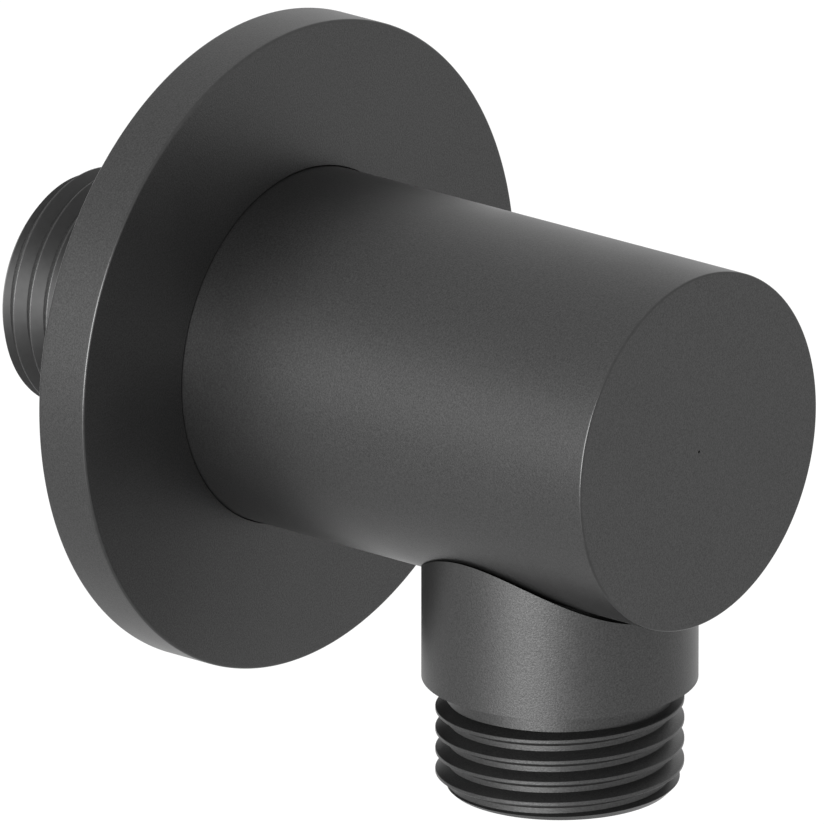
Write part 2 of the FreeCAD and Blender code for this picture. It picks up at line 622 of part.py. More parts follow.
def make_valve_poppet():
    """The moving part of the check valve: a nose and lip, a neck for the seal, the head, and
    the stem in the guide."""
    body = new_piece("valve_poppet")
    neck_radius = "Sizes.poppet_neck_diameter / 2"
    lip_radius = "Sizes.poppet_lip_diameter / 2"
    head_radius = "Sizes.poppet_head_diameter / 2"
    lip_end = f"({SEAL_TOP} - Sizes.poppet_neck_clearance)"
    lip_top = f"({lip_end} - Sizes.poppet_lip_height)"
    nose_top = f"({lip_top} - Sizes.poppet_nose_height)"
    stem_end = f"({GUIDE_TOP} + Sizes.poppet_stem_grip)"
    turn(body, "poppet", "XZ_Plane", (
        ("0", f"-{nose_top}"),
        ("Sizes.poppet_nose_diameter / 2", f"-{nose_top}"),
        (lip_radius, f"-{lip_top}"),
        (lip_radius, f"-{lip_end}"),
        (neck_radius, f"-{lip_end}"),
        (neck_radius, f"-{HEAD_TOP}"),
        (head_radius, f"-{HEAD_TOP}"),
        (head_radius, f"-{HEAD_END}"),
        (STEM_RADIUS, f"-{HEAD_END}"),
        (STEM_RADIUS, f"-{stem_end}"),
        ("0", f"-{stem_end}"),
    ))
    set_on_outlet_axis(body)
    return body


def make_poppet_seal():
    """The rubber washer that the poppet presses against the seat."""
    body = new_piece("poppet_seal")
    inner = "Sizes.poppet_neck_diameter / 2 + Sizes.poppet_neck_clearance"
    outer = "Sizes.poppet_seal_diameter / 2"
    turn(body, "washer", "XZ_Plane", (
        (inner, f"-{SEAL_TOP}"),
        (outer, f"-{SEAL_TOP}"),
        (outer, f"-{HEAD_TOP}"),
        (inner, f"-{HEAD_TOP}"),
    ))
    set_on_outlet_axis(body)
    return body


def make_valve_spring():
    """The coil spring between the guide's hub and the poppet's head."""
    body = new_piece("valve_spring")
    wire_radius = "Sizes.spring_wire / 2"
    coil_radius = "Sizes.spring_diameter / 2"
    start = f"-{GUIDE_TOP} + {wire_radius} + Sizes.ring_relief"
    rise = f"({GUIDE_TOP} - {HEAD_END} - Sizes.spring_wire - 2 * Sizes.ring_relief)"
    sketch = new_sketch(body, "wire_section", "XZ_Plane")
    middle = FreeCAD.Vector(number(coil_radius), number(start), 0)
    size = number(wire_radius)
    sketch.addGeometry(Part.Circle(middle, FreeCAD.Vector(0, 0, 1), size), False)
    hold_point(sketch, 0, 3, coil_radius, start)
    index = sketch.addConstraint(Sketcher.Constraint("Radius", 0, size))
    sketch.setExpression(f"Constraints[{index}]", wire_radius)
    coil = body.newObject("PartDesign::AdditiveHelix", "coil")
    coil.Profile = sketch
    coil.ReferenceAxis = (origin_feature(body, "Z_Axis"), [""])
    coil.Mode = "pitch-height-angle"
    coil.setExpression("Pitch", f"{rise} / Sizes.spring_turns")
    coil.setExpression("Height", rise)
    coil.Refine = False
    doc.recompute()
    set_on_outlet_axis(body)
    return body


def make_seal_rings():
    """The three round-section rubber rings: in the disc, on the outlet nipple, on the valve."""
    grip = add_seal_ring(
        "rosette_grip_ring", GRIP_RING_RADIUS, "Sizes.grip_ring_cord",
        ("0", "-Sizes.rosette_thickness / 2", "0"), sideways=True,
    )
    outlet = add_seal_ring(
        "outlet_seal_ring", OUTLET_RING_RADIUS, "Sizes.outlet_ring_cord",
        ("0", "-Sizes.outlet_reach", "-Sizes.outlet_ring_drop"),
    )
    valve = add_seal_ring(
        "valve_seal_ring", VALVE_RING_RADIUS, "Sizes.valve_ring_cord",
        ("0", "-Sizes.outlet_reach", f"-{VALVE_RING_DROP}"),
    )
    return [grip, outlet, valve]


pieces = [
    make_elbow_body(),
    make_outlet_nipple(),
    make_rosette(),
    make_wall_seal(),
    make_valve_seat_ring(),
    make_valve_housing(),
    make_valve_poppet(),
    make_poppet_seal(),
    make_valve_spring(),
    *make_seal_rings(),
]
doc.recompute()

for item in doc.Objects:
    if "Invalid" in item.State or "Error" in item.State:
        raise RuntimeError(f"{item.Label} failed: {item.State}")

os.makedirs("parts", exist_ok=True)
for piece in pieces:
    shape = piece.Shape
    if shape.isNull() or not shape.isValid() or len(shape.Solids) != 1:
        raise RuntimeError(f"{piece.Label} isn't one valid solid")
    shape.exportStep(f"parts/{piece.Label}.step")
    print(f"{piece.Label}: {shape.Volume:.1f} mm3")
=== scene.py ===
import math

import bmesh
import bpy
from mathutils import Matrix, Vector


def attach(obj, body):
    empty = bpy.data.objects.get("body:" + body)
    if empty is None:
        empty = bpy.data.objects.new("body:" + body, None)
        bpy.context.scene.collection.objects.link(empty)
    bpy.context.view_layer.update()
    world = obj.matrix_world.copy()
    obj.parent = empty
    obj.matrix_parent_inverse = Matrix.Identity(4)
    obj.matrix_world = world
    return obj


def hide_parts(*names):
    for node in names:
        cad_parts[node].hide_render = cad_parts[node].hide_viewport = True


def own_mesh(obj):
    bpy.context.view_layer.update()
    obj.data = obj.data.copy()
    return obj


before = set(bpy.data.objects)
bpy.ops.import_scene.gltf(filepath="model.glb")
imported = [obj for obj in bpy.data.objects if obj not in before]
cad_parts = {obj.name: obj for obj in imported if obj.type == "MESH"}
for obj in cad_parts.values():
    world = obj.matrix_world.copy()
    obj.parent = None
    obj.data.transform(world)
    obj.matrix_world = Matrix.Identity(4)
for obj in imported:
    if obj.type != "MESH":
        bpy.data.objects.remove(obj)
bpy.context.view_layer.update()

# The elbow's body is one piece of brass, turned from bar: a round barrel with a threaded inlet
# nipple behind it, bored from behind, and from below for the outlet's stud. Its graphite grey
# coating is smoother on the front edge. The inlet thread's flanks keep the fine rings of turning,
# and their tone is painted paler than the coating's, as painted light.

# Sizes are in millimetres. Lengths along the barrel count from the wall's plane, and heights
# below it from the barrel's axis.
BARREL_RADIUS = 15.175
BARREL_FRONT = -48.1
BARREL_REAR = -0.5
RIM_ROUND = 0.15
TURNING_MARK_RADIUS = 0.125
TURNING_MARK_DEPTH = 0.4
TURNING_MARK_TAPER = 0.8
NECK_RADIUS = 9.5
INLET_NECK_END = 1.25
INLET_END = 20.0
INLET_CREST_HEIGHT = 17.87
INLET_CREST_FLAT = 0.13
INLET_CREST_ANGLE = 180
WATERWAY_RADIUS = 6.75
WATERWAY_END = -40.35
DRILL_TIP = -44.41
MOUTH_CHAMFER = 0.6
OUTLET_REACH = 33.15
STUD_HOLE_RADIUS = 9.05
STUD_SEAT = -7.8
THROAT_RADIUS = 5.75
FLANK_SLOPE_LOW = 0.7
FLANK_SLOPE_HIGH = 0.95

THREAD_CREST_RADIUS = 10.34
THREAD_ROOT_RADIUS = 9.3
THREAD_END_RADIUS = 9.25
THREAD_PITCH = 1.814
THREAD_FLANK_ANGLE = 27.5
THREAD_CREST_ROUND = 0.03
THREAD_CREST_ROOM = 1.0
THREAD_NECK_LAP = 0.2
THREAD_NECK_INSET = 0.1
THREAD_STEPS = 96
SPARE_TURNS_BELOW = 1.5
SPARE_TURNS_ABOVE = 2

# Tools reach past a piece, joined parts lap into each other, and shared faces overlap a little.
PAST = 2.0
LAP = 1.0
OVERLAP = 0.01
MERGE_DISTANCE = 0.0001
THREAD_MERGE_DISTANCE = 0.0005
CUT_TOLERANCE = 0.00001
RIM_TOLERANCE = 0.001

METRES = Matrix.Scale(0.001, 4)
ALONG_Y = Matrix.Rotation(math.radians(-90), 4, "X")


def turned_blank(outline, steps=192):
    """Spins an outline of (radius, height) pairs once round the Z axis."""
    work = bmesh.new()
    points = [work.verts.new((radius, 0, height)) for radius, height in outline]
    is_ring = outline[0][0] > 0
    following = points[1:] + points[:1] if is_ring else points[1:]
    lines = [work.edges.new(pair) for pair in zip(points, following)]
    bmesh.ops.spin(
        work, geom=points + lines, cent=(0, 0, 0), axis=(0, 0, 1), angle=math.tau,
        steps=steps, use_merge=True,
    )
    bmesh.ops.remove_doubles(work, verts=work.verts, dist=MERGE_DISTANCE)
    bmesh.ops.recalc_face_normals(work, faces=work.faces)
    return work


def rounded_blank(outline, rims, size, steps=192, segments=5):
    """Spins an outline, and rounds the ring-shaped edges at some of its corners. A ring on each
    side of a corner keeps the faces next to the round flat."""
    corners = [Vector(corner) for corner in outline]
    support = size * 2
    supported = []
    for i, corner in enumerate(corners):
        if outline[i] not in rims:
            supported.append(corner)
            continue
        before, after = corners[i - 1], corners[(i + 1) % len(corners)]
        supported.append(corner + (before - corner).normalized() * support)
        supported.append(corner)
        supported.append(corner + (after - corner).normalized() * support)
    work = turned_blank(supported, steps)
    rim_edges = []
    for edge in work.edges:
        for radius, height in rims:
            gaps = [math.hypot(v.co.xy.length - radius, v.co.z - height) for v in edge.verts]
            if max(gaps) < RIM_TOLERANCE:
                rim_edges.append(edge)
    bmesh.ops.bevel(
        work, geom=rim_edges, affect="EDGES", offset=size, offset_type="OFFSET", segments=segments,
        profile=0.5, material=-1, clamp_overlap=True,
    )
    return work


def threaded_rod(crest_height, crest_angle, crest_flat, low, high):
    """A right-hand threaded rod from low to high, with crests as wide as crest_flat. The middle
    of one of them is at crest_height on the side at crest_angle, counted from +X."""
    run = (THREAD_CREST_RADIUS - THREAD_ROOT_RADIUS) * math.tan(math.radians(THREAD_FLANK_ANGLE))
    half_crest = crest_flat / 2
    start = crest_height - THREAD_PITCH * crest_angle / 360
    start -= THREAD_PITCH * math.ceil((start - low) / THREAD_PITCH + SPARE_TURNS_BELOW)
    turns = math.ceil((high - start) / THREAD_PITCH) + SPARE_TURNS_ABOVE
    round_off = THREAD_CREST_ROUND
    tooth = (
        (THREAD_ROOT_RADIUS, -half_crest - run),
        (THREAD_CREST_RADIUS - round_off, -half_crest - round_off / 2),
        (THREAD_CREST_RADIUS, -half_crest + round_off),
        (THREAD_CREST_RADIUS, half_crest - round_off),
        (THREAD_CREST_RADIUS - round_off, half_crest + round_off / 2),
        (THREAD_ROOT_RADIUS, half_crest + run),
    )
    work = bmesh.new()
    points = []
    for turn in range(turns):
        middle = start + turn * THREAD_PITCH
        points += [work.verts.new((radius, 0, middle + height)) for radius, height in tooth]
    lines = [work.edges.new(pair) for pair in zip(points, points[1:])]
    bmesh.ops.spin(
        work, geom=points + lines, cent=(0, 0, 0), axis=(0, 0, 1), angle=math.tau,
        dvec=(0, 0, THREAD_PITCH / THREAD_STEPS), steps=THREAD_STEPS,
    )
    bmesh.ops.remove_doubles(work, verts=work.verts, dist=THREAD_MERGE_DISTANCE)
    for height, side in ((low, -1), (high, 1)):
        cut = bmesh.ops.bisect_plane(
            work, geom=work.verts[:] + work.edges[:] + work.faces[:], dist=CUT_TOLERANCE,
            plane_co=(0, 0, height), plane_no=(0, 0, side), clear_outer=True,
        )
        rim = [item for item in cut["geom_cut"] if isinstance(item, bmesh.types.BMEdge)]
        bmesh.ops.edgeloop_fill(work, edges=rim)
    bmesh.ops.recalc_face_normals(work, faces=work.faces)
    return work


def stock(name, work):
    """Puts a worked mesh into an object, ready to be joined or cut."""
    mesh = bpy.data.meshes.new(name)
    work.to_mesh(mesh)
    work.free()
    piece = bpy.data.objects.new(name, mesh)
    bpy.context.scene.collection.objects.link(piece)
    return piece


def machine(piece, tool, operation):
    """Joins a piece with a tool, keeps what both share, or cuts the tool out of the piece."""
    step = piece.modifiers.new(operation, "BOOLEAN")
    step.operation = operation
    step.solver = "MANIFOLD"
    step.object = tool
    worked = piece.evaluated_get(bpy.context.evaluated_depsgraph_get())
    mesh = bpy.data.meshes.new_from_object(worked)
    piece.modifiers.clear()
    piece.data = mesh
    bpy.data.objects.remove(tool)


def add_thread(piece, name, neck_end, end, crest_height, crest_angle, crest_flat):
    """Joins a thread to a turned piece, from the end of its neck to its own chamfered end."""
    outward = math.copysign(1, end - neck_end)
    low, high = sorted((neck_end - outward * LAP, end + outward * PAST))
    rod = threaded_rod(crest_height, crest_angle, crest_flat, low, high)
    thread = stock(name + "_thread", rod)
    lap_radius = NECK_RADIUS - THREAD_NECK_INSET
    room_radius = THREAD_CREST_RADIUS + THREAD_CREST_ROOM
    envelope = stock(name + "_envelope", turned_blank((
        (0, neck_end - outward * THREAD_NECK_LAP),
        (lap_radius, neck_end - outward * THREAD_NECK_LAP),
        (lap_radius, neck_end),
        (room_radius, neck_end),
        (room_radius, end - outward * (room_radius - THREAD_END_RADIUS)),
        (THREAD_END_RADIUS, end),
        (0, end),
    )))
    machine(thread, envelope, "INTERSECT")
    machine(piece, thread, "UNION")


def finish_piece(piece, finish, lay=Matrix.Identity(4), place=(0, 0, 0), sharp_from=28):
    """Lays the mesh along its axis, moves it to its place in millimetres, turns it to metres,
    and gives it its finish."""
    piece.data.transform(METRES @ Matrix.Translation(place) @ lay)
    piece.data.name = piece.name
    piece.data.materials.clear()
    piece.data.materials.append(finish)
    piece.data.shade_smooth()
    piece.data.set_sharp_from_angle(angle=math.radians(sharp_from))


def finish_faces(piece, finish, chosen):
    """Gives another finish to the faces that are chosen by their middle, in millimetres, and
    their normal."""
    piece.data.materials.append(finish)
    for face in piece.data.polygons:
        if chosen(face.center * 1000, face.normal):
            face.material_index = len(piece.data.materials) - 1


def new_finish(name):
    """Starts a material, and gives it back with its shader and the piece's own coordinates."""
    finish = bpy.data.materials.new(name)
    finish.use_nodes = True
    nodes = finish.node_tree.nodes
    return finish, nodes["Principled BSDF"], nodes.new("ShaderNodeTexCoord").outputs["Object"]


def noise(place, scale, detail):
    """A cloudy pattern in the piece's own coordinates."""
    tree = place.id_data
    pattern = tree.nodes.new("ShaderNodeTexNoise")
    pattern.inputs["Scale"].default_value = scale
    pattern.inputs["Detail"].default_value = detail
    tree.links.new(place, pattern.inputs["Vector"])
    return pattern.outputs["Fac"]


def tone(pattern, dark, pale, start=0, end=1):
    """A colour that goes from dark to pale while the pattern goes from start to end."""
    tree = pattern.id_data
    ramp = tree.nodes.new("ShaderNodeValToRGB")
    for stop, position, colour in zip(ramp.color_ramp.elements, (start, end), (dark, pale)):
        stop.position = position
        stop.color = (*colour, 1)
    tree.links.new(pattern, ramp.inputs["Fac"])
    return ramp.outputs["Color"]


def set_colour(shader, colour):
    """Lets a node's colour be the shader's own."""
    shader.id_data.links.new(colour, shader.inputs["Base Color"])


def set_sheen(shader, pattern, smooth, rough, start=0, end=1):
    """Lets the roughness go from smooth to rough while the pattern goes from start to end."""
    tree = shader.id_data
    sheen = tree.nodes.new("ShaderNodeMapRange")
    sheen.inputs["From Min"].default_value = start
    sheen.inputs["From Max"].default_value = end
    sheen.inputs["To Min"].default_value = smooth
    sheen.inputs["To Max"].default_value = rough
    tree.links.new(pattern, sheen.inputs["Value"])
    tree.links.new(sheen.outputs["Result"], shader.inputs["Roughness"])


def set_relief(shader, pattern, strength, depth):
    """Lets the surface rise and fall with the pattern. The depth is in metres."""
    tree = shader.id_data
    bump = tree.nodes.new("ShaderNodeBump")
    bump.inputs["Strength"].default_value = strength
    bump.inputs["Distance"].default_value = depth
    tree.links.new(pattern, bump.inputs["Height"])
    tree.links.new(bump.outputs["Normal"], shader.inputs["Normal"])


def graphite_coating():
    """The matt graphite grey metal coating: fine sparkling grain and a slightly uneven sheen."""
    finish, shader, place = new_finish("graphite_coating")
    shader.inputs["Metallic"].default_value = 0.95
    grain = noise(place, scale=7500, detail=2)
    cloud = noise(place, scale=90, detail=3)
    speckle = tone(grain, (0.039, 0.039, 0.039), (0.070, 0.070, 0.070), start=0.25, end=0.75)
    set_colour(shader, speckle)
    set_sheen(shader, cloud, smooth=0.40, rough=0.46, start=0.3, end=0.7)
    set_relief(shader, grain, strength=0.6, depth=0.00002)
    return finish


def burnished_edge():
    """Where the coating runs over a turned edge, it is thinner and smoother than on the faces."""
    finish, shader, place = new_finish("burnished_edge")
    shader.inputs["Metallic"].default_value = 1.0
    rubbing = noise(place, scale=2500, detail=2)
    set_colour(shader, tone(rubbing, (0.045, 0.045, 0.045), (0.060, 0.060, 0.060)))
    set_sheen(shader, rubbing, smooth=0.26, rough=0.34)
    return finish


def turned_flank_painted_paler():
    """The thread's flanks keep the fine rings that the lathe's tool leaves round them, so they
    carry light along the axis in narrow fans. Their tone is painted about twice as pale as the
    coating. This is painted light, standing in for the light that their groove and the disc keep
    from them."""
    finish, shader, place = new_finish("turned_flank_painted_paler")
    shader.inputs["Metallic"].default_value = 1.0
    shader.inputs["Anisotropic"].default_value = 0.75
    tool_marks = noise(place, scale=1500, detail=3)
    set_colour(shader, tone(tool_marks, (0.090, 0.090, 0.090), (0.112, 0.112, 0.112)))
    set_sheen(shader, tool_marks, smooth=0.58, rough=0.64)
    along_axis = finish.node_tree.nodes.new("ShaderNodeCombineXYZ")
    along_axis.inputs["Y"].default_value = 1
    finish.node_tree.links.new(along_axis.outputs["Vector"], shader.inputs["Tangent"])
    return finish


graphite = graphite_coating()
edge_finish = burnished_edge()

elbow_body = stock("elbow_body_turned", rounded_blank((
    (0, BARREL_FRONT + TURNING_MARK_DEPTH),
    (
        TURNING_MARK_RADIUS * TURNING_MARK_TAPER,
        BARREL_FRONT + TURNING_MARK_DEPTH * TURNING_MARK_TAPER,
    ),
    (TURNING_MARK_RADIUS, BARREL_FRONT),
    (BARREL_RADIUS, BARREL_FRONT),
    (BARREL_RADIUS, BARREL_REAR),
    (NECK_RADIUS, BARREL_REAR),
    (NECK_RADIUS, INLET_NECK_END + OVERLAP),
    (0, INLET_NECK_END + OVERLAP),
), [(BARREL_RADIUS, BARREL_FRONT)], RIM_ROUND))
add_thread(
    elbow_body, "inlet", INLET_NECK_END, INLET_END,
    INLET_CREST_HEIGHT, INLET_CREST_ANGLE, INLET_CREST_FLAT,
)
waterway = stock("waterway", turned_blank((
    (0, DRILL_TIP),
    (WATERWAY_RADIUS, WATERWAY_END),
    (WATERWAY_RADIUS, INLET_END - MOUTH_CHAMFER),
    (WATERWAY_RADIUS + MOUTH_CHAMFER + PAST, INLET_END + PAST),
    (0, INLET_END + PAST),
), steps=96))
machine(elbow_body, waterway, "DIFFERENCE")
elbow_body.data.transform(ALONG_Y)
stud_hole = stock("stud_hole", turned_blank((
    (0, 0),
    (THROAT_RADIUS, 0),
    (THROAT_RADIUS, STUD_SEAT),
    (STUD_HOLE_RADIUS, STUD_SEAT),
    (STUD_HOLE_RADIUS, -BARREL_RADIUS - PAST),
    (0, -BARREL_RADIUS - PAST),
)))
stud_hole.data.transform(Matrix.Translation((0, -OUTLET_REACH, 0)))
machine(elbow_body, stud_hole, "DIFFERENCE")
finish_piece(elbow_body, graphite)
finish_faces(elbow_body, edge_finish, lambda middle, normal: (
    middle.y < BARREL_FRONT + RIM_ROUND
    and math.hypot(middle.x, middle.z) > BARREL_RADIUS - RIM_ROUND
))
# The inlet thread's flanks get the paler tone: painted light on top of their real turning marks.
finish_faces(elbow_body, turned_flank_painted_paler(), lambda middle, normal: (
    middle.y > INLET_NECK_END and FLANK_SLOPE_LOW < abs(normal.y) < FLANK_SLOPE_HIGH
))
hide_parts("elbow_body")
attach(elbow_body, "elbow")

# The outlet nipple is a second turned brass piece with the same coating. Its stud is bonded
# into the hole in the barrel's belly, and the top of its round shoulder is milled to a saddle
# that goes round the barrel with a thin gap. The hose's thread is under the shoulder.
SHOULDER_RADIUS = 11.5
SHOULDER_END = -22.75
SADDLE_RADIUS = 15.785
SADDLE_AXIS_HEIGHT = 0.47
OUTLET_TURN = -2.2
OUTLET_NECK_END = -24.5
OUTLET_END = -32.3
OUTLET_CREST_HEIGHT = -25.11
OUTLET_CREST_ANGLE = 220.4
OUTLET_CREST_FLAT = 0.28
STUD_RADIUS = 9.0
STUD_RING_HEIGHT = -9.9
STUD_RING_CORD = 1.2
RING_SIDE_ROOM = 0.1
VALVE_BORE_RADIUS = 7.5
VALVE_STEP = -14.0
OUTLET_PLACE = (0, -OUTLET_REACH, 0)

outlet_nipple = stock("outlet_nipple_turned", turned_blank((
    (0, STUD_SEAT),
    (SHOULDER_RADIUS, STUD_SEAT),
    (SHOULDER_RADIUS, SHOULDER_END),
    (NECK_RADIUS, SHOULDER_END),
    (NECK_RADIUS, OUTLET_NECK_END - OVERLAP),
    (0, OUTLET_NECK_END - OVERLAP),
)))
saddle_cutter = stock("saddle_cutter", turned_blank((
    (0, -SHOULDER_RADIUS - PAST),
    (SADDLE_RADIUS, -SHOULDER_RADIUS - PAST),
    (SADDLE_RADIUS, SHOULDER_RADIUS + PAST),
    (0, SHOULDER_RADIUS + PAST),
), steps=288))
saddle_cutter.data.transform(Matrix.Translation((0, 0, SADDLE_AXIS_HEIGHT)) @ ALONG_Y)
machine(outlet_nipple, saddle_cutter, "DIFFERENCE")
ring_groove_root = STUD_HOLE_RADIUS - STUD_RING_CORD
ring_groove_half = STUD_RING_CORD / 2 + RING_SIDE_ROOM
stud = stock("stud", turned_blank((
    (0, STUD_SEAT),
    (STUD_RADIUS, STUD_SEAT),
    (STUD_RADIUS, STUD_RING_HEIGHT + ring_groove_half),
    (ring_groove_root, STUD_RING_HEIGHT + ring_groove_half),
    (ring_groove_root, STUD_RING_HEIGHT - ring_groove_half),
    (STUD_RADIUS, STUD_RING_HEIGHT - ring_groove_half),
    (STUD_RADIUS, SHOULDER_END + LAP),
    (0, SHOULDER_END + LAP),
)))
machine(outlet_nipple, stud, "UNION")
add_thread(
    outlet_nipple, "outlet", OUTLET_NECK_END, OUTLET_END,
    OUTLET_CREST_HEIGHT, OUTLET_CREST_ANGLE, OUTLET_CREST_FLAT,
)
valve_bore = stock("valve_bore", turned_blank((
    (0, STUD_SEAT + PAST),
    (THROAT_RADIUS, STUD_SEAT + PAST),
    (THROAT_RADIUS, VALVE_STEP),
    (VALVE_BORE_RADIUS, VALVE_STEP),
    (VALVE_BORE_RADIUS, OUTLET_END - PAST),
    (0, OUTLET_END - PAST),
), steps=96))
machine(outlet_nipple, valve_bore, "DIFFERENCE")
finish_piece(
    outlet_nipple, graphite, lay=Matrix.Rotation(math.radians(OUTLET_TURN), 4, "Z"),
    place=OUTLET_PLACE,
)
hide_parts("outlet_nipple")
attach(outlet_nipple, "elbow")

# A black rubber ring in the stud's groove seals the outlet nipple in the barrel. Such a ring is
# moulded in two halves, which leaves a fine line round it at 45 degrees to its middle.
RING_RELIEF = 0.01
RING_LINE_HEIGHT = 0.02


def ring_outline(middle_radius, height, cord, sides=24):
    """The section of a rubber ring, with the fine raised lines where its mould parts."""
    section = []
    for i in range(sides):
        angle = math.tau * i / sides
        raised = RING_LINE_HEIGHT if i in (sides // 8, sides * 5 // 8) else 0
        reach = cord / 2 - RING_RELIEF + raised
        section.append((middle_radius + reach * math.cos(angle), height + reach * math.sin(angle)))
    return section


def black_rubber():
    """Matt black sealing rubber: a slightly uneven sheen, a dusting of paler bloom, and the
    faint pebbled skin of the mould."""
    finish, shader, place = new_finish("black_rubber")
    skin = noise(place, scale=4000, detail=4)
    bloom = noise(place, scale=300, detail=3)
    dusting = tone(bloom, (0.012, 0.012, 0.012), (0.032, 0.032, 0.033), start=0.35, end=0.75)
    set_colour(shader, dusting)
    set_sheen(shader, bloom, smooth=0.5, rough=0.72)
    set_relief(shader, skin, strength=0.4, depth=0.00002)
    return finish


rubber = black_rubber()

outlet_ring = stock("outlet_seal_ring_moulded", turned_blank(ring_outline(
    STUD_HOLE_RADIUS - STUD_RING_CORD / 2, STUD_RING_HEIGHT, STUD_RING_CORD,
), steps=96))
finish_piece(outlet_ring, rubber, place=OUTLET_PLACE)
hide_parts("outlet_seal_ring")
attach(outlet_ring, "elbow")

# The check valve sits in the wide bore. Its seat ring is moulded in natural white acetal, with a
# flange against the bore's step, a groove for its own rubber ring, and the seat underneath.
VALVE_RADIUS = 7.4
SEAT_BORE_RADIUS = 4.2
SEAT_LEAD_IN = 0.8
SEAT_RING_END = -17.0
SEAT_FACE = -18.8
SPIGOT_RADIUS = 6.25
VALVE_RING_HEIGHT = -15.5
VALVE_RING_CORD = 1.0
MOULDED_ROUND = 0.12


def white_acetal():
    """Natural white acetal: slightly waxy, faintly clouded, with a soft moulded skin."""
    finish, shader, place = new_finish("white_acetal")
    shader.inputs["Subsurface Weight"].default_value = 0.15
    shader.inputs["Subsurface Radius"].default_value = (0.0006, 0.0005, 0.0004)
    flow = noise(place, scale=220, detail=3)
    skin = noise(place, scale=3000, detail=3)
    set_colour(shader, tone(flow, (0.70, 0.70, 0.66), (0.80, 0.80, 0.77), start=0.3, end=0.7))
    set_sheen(shader, flow, smooth=0.32, rough=0.5)
    set_relief(shader, skin, strength=0.25, depth=0.00001)
    return finish


acetal = white_acetal()

valve_groove_root = VALVE_BORE_RADIUS - VALVE_RING_CORD
valve_groove_half = VALVE_RING_CORD / 2 + RING_SIDE_ROOM
seat_ring = stock("valve_seat_ring_moulded", rounded_blank((
    (SEAT_BORE_RADIUS + SEAT_LEAD_IN, VALVE_STEP),
    (VALVE_RADIUS, VALVE_STEP),
    (VALVE_RADIUS, VALVE_RING_HEIGHT + valve_groove_half),
    (valve_groove_root, VALVE_RING_HEIGHT + valve_groove_half),
    (valve_groove_root, VALVE_RING_HEIGHT - valve_groove_half),
    (VALVE_RADIUS, VALVE_RING_HEIGHT - valve_groove_half),
    (VALVE_RADIUS, SEAT_RING_END),
    (SPIGOT_RADIUS, SEAT_RING_END),
    (SPIGOT_RADIUS, SEAT_FACE),
    (SEAT_BORE_RADIUS, SEAT_FACE),
    (SEAT_BORE_RADIUS, VALVE_STEP - SEAT_LEAD_IN),
), [
    (VALVE_RADIUS, VALVE_STEP),
    (VALVE_RADIUS, VALVE_RING_HEIGHT + valve_groove_half),
    (VALVE_RADIUS, VALVE_RING_HEIGHT - valve_groove_half),
    (VALVE_RADIUS, SEAT_RING_END),
    (SPIGOT_RADIUS, SEAT_FACE),
    (SEAT_BORE_RADIUS, SEAT_FACE),
], MOULDED_ROUND, steps=96))
finish_piece(seat_ring, acetal, place=OUTLET_PLACE)
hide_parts("valve_seat_ring")
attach(seat_ring, "elbow")

# A thinner rubber ring, moulded like the first one, lies in the seat ring's groove. It seals the
# valve in its bore, so that all the water goes through the seat.
valve_ring = stock("valve_seal_ring_moulded", turned_blank(ring_outline(
    VALVE_BORE_RADIUS - VALVE_RING_CORD / 2, VALVE_RING_HEIGHT, VALVE_RING_CORD,
), steps=96))
finish_piece(valve_ring, rubber, place=OUTLET_PLACE)
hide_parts("valve_seal_ring")
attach(valve_ring, "elbow")

# The valve's housing is a thin acetal tube that clips round the seat ring. Three arms near its
# lower end carry a hub, and the hole in the hub guides the poppet's stem.
HOUSING_BORE_RADIUS = 6.3
HOUSING_END = -31.0
HOUSING_ROUND = 0.25
GUIDE_END = -30.6
GUIDE_TOP = -27.6
GUIDE_HUB_RADIUS = 2.6
HUB_ROUND = 0.2
GUIDE_HOLE_RADIUS = 1.05
GUIDE_ARMS = 3
GUIDE_ARM_WIDTH = 1.4
GUIDE_ARM_START = 1.6
GUIDE_ARM_TOP = -28.4
GUIDE_ARM_END = -30.55
GUIDE_ARM_ROUND = 0.3

housing = stock("valve_housing_moulded", rounded_blank((
    (HOUSING_BORE_RADIUS, SEAT_RING_END),
    (VALVE_RADIUS, SEAT_RING_END),
    (VALVE_RADIUS, HOUSING_END),
    (HOUSING_BORE_RADIUS, HOUSING_END),
), [(VALVE_RADIUS, HOUSING_END), (HOUSING_BORE_RADIUS, HOUSING_END)], HOUSING_ROUND, steps=96))
arm_reach = (HOUSING_BORE_RADIUS + VALVE_RADIUS) / 2
for i in range(GUIDE_ARMS):
    arm_mesh = bmesh.new()
    bmesh.ops.create_cube(arm_mesh, size=1, matrix=(
        Matrix.Translation((
            (GUIDE_ARM_START + arm_reach) / 2, 0, (GUIDE_ARM_TOP + GUIDE_ARM_END) / 2,
        ))
        @ Matrix.Diagonal((
            arm_reach - GUIDE_ARM_START, GUIDE_ARM_WIDTH, GUIDE_ARM_TOP - GUIDE_ARM_END, 1,
        ))
    ))
    long_edges = [
        edge for edge in arm_mesh.edges
        if abs(edge.verts[0].co.x - edge.verts[1].co.x) > GUIDE_ARM_WIDTH
    ]
    bmesh.ops.bevel(
        arm_mesh, geom=long_edges, affect="EDGES", offset=GUIDE_ARM_ROUND, segments=3,
        profile=0.5, material=-1,
    )
    bmesh.ops.rotate(
        arm_mesh, verts=arm_mesh.verts, cent=(0, 0, 0),
        matrix=Matrix.Rotation(math.tau * i / GUIDE_ARMS, 3, "Z"),
    )
    machine(housing, stock("guide_arm", arm_mesh), "UNION")
hub = stock("guide_hub", rounded_blank((
    (0, GUIDE_TOP),
    (GUIDE_HUB_RADIUS, GUIDE_TOP),
    (GUIDE_HUB_RADIUS, GUIDE_END),
    (0, GUIDE_END),
), [(GUIDE_HUB_RADIUS, GUIDE_TOP), (GUIDE_HUB_RADIUS, GUIDE_END)], HUB_ROUND, steps=48))
machine(housing, hub, "UNION")
